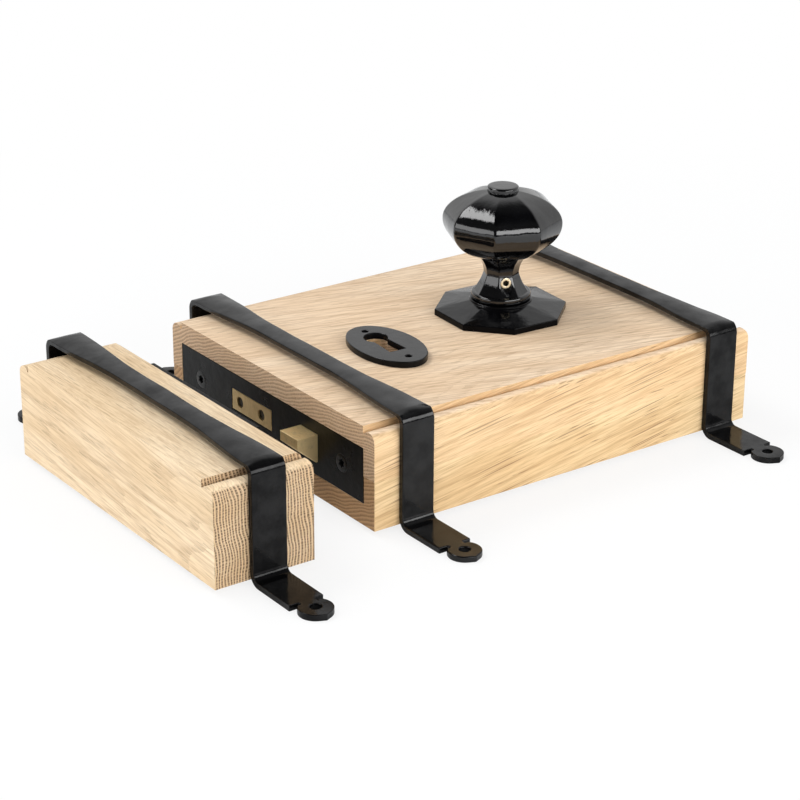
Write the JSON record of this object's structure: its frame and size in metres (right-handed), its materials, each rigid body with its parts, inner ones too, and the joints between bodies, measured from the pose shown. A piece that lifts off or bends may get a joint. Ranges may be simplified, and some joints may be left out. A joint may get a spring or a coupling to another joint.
{
  "type": "rim box lock",
  "caption": "Oak box lock held to a door by black iron straps, with octagonal knob, oval escutcheon, beveled latch, deadbolt, levers inside, and a loose oak keep.",
  "frame": {"origin": "On the door's surface under the strap feet, midway between the four strap screws of the lock.", "axes": "+X runs from the keep along the lock box, +Y up the door, +Z out of the door towards the knob."},
  "size_m": [0.288, 0.255, 0.1078],
  "materials": {
    "oak_lock": "oiled oak, straight grain along the box",
    "oak_front": "oiled oak, pale straight grain",
    "oak_keep": "oiled oak, flame grain up the door",
    "black_iron": "satin black powder coat, faintly hammered",
    "black_plate": "matt black",
    "gloss_black": "high gloss black",
    "black_screw": "black oxide",
    "bolt_brass": "satin, scratched",
    "steel": "bare",
    "lever_brass": "stamped",
    "case_paint": "grey enamel"
  },
  "bodies": {
    "lock": {"back_board": "oak_lock", "front_board": "oak_front", "front_strap": "black_iron", "rear_strap": "black_iron", "faceplate": "black_plate", "faceplate_screws": "black_screw", "lock_case": "case_paint", "case_cover": "case_paint", "cover_screws": "steel", "lever_post": "steel", "latch_spring": "steel", "knob_rose": "gloss_black", "escutcheon": "black_plate"},
    "knob": {"knob": "gloss_black", "knob_grub_screw": "bolt_brass", "spindle": "steel", "follower": "bolt_brass"},
    "latch": {"latch_bolt": "bolt_brass", "latch_tail": "steel"},
    "deadbolt": {"deadbolt": "bolt_brass", "deadbolt_pins": "steel"},
    "levers": {"lever_1": "lever_brass", "lever_2": "lever_brass", "lever_3": "lever_brass", "lever_4": "lever_brass", "lever_5": "lever_brass", "lever_springs": "steel"},
    "keep": {"keep_block": "oak_keep", "keep_strap": "black_iron", "strike_plate": "black_plate", "strike_screws": "black_screw"}
  },
  "joints": [
    {"name": "knob_turn", "type": "hinge", "parent": "lock", "child": "knob", "pos_m": [0.02225, -0.0015, 0.0247], "axis": [0, 0, 1], "range_deg": [0, 40], "stiffness_Nm_per_rad": 0.5, "springref_deg": -17.19},
    {"name": "latch_draw", "type": "slide", "parent": "lock", "child": "latch", "axis": [1, 0, 0], "range_m": [0, 0.01], "deforming": ["latch_spring"]},
    {"name": "deadbolt_throw", "type": "slide", "parent": "lock", "child": "deadbolt", "axis": [-1, 0, 0], "range_m": [0, 0.014]},
    {"name": "lever_drop", "type": "hinge", "parent": "lock", "child": "levers", "pos_m": [-0.00975, 0.019, 0.0247], "axis": [0, 0, 1], "range_deg": [0, 4]},
    {"name": "keep_slide", "type": "slide", "parent": "lock", "child": "keep", "axis": [0.9793, 0.2022, 0], "range_m": [0, 0.03165]}
  ],
  "couplings": [
    {"joint": "latch_draw", "follows": "knob_turn", "m_per_rad": 0.01432}
  ]
}
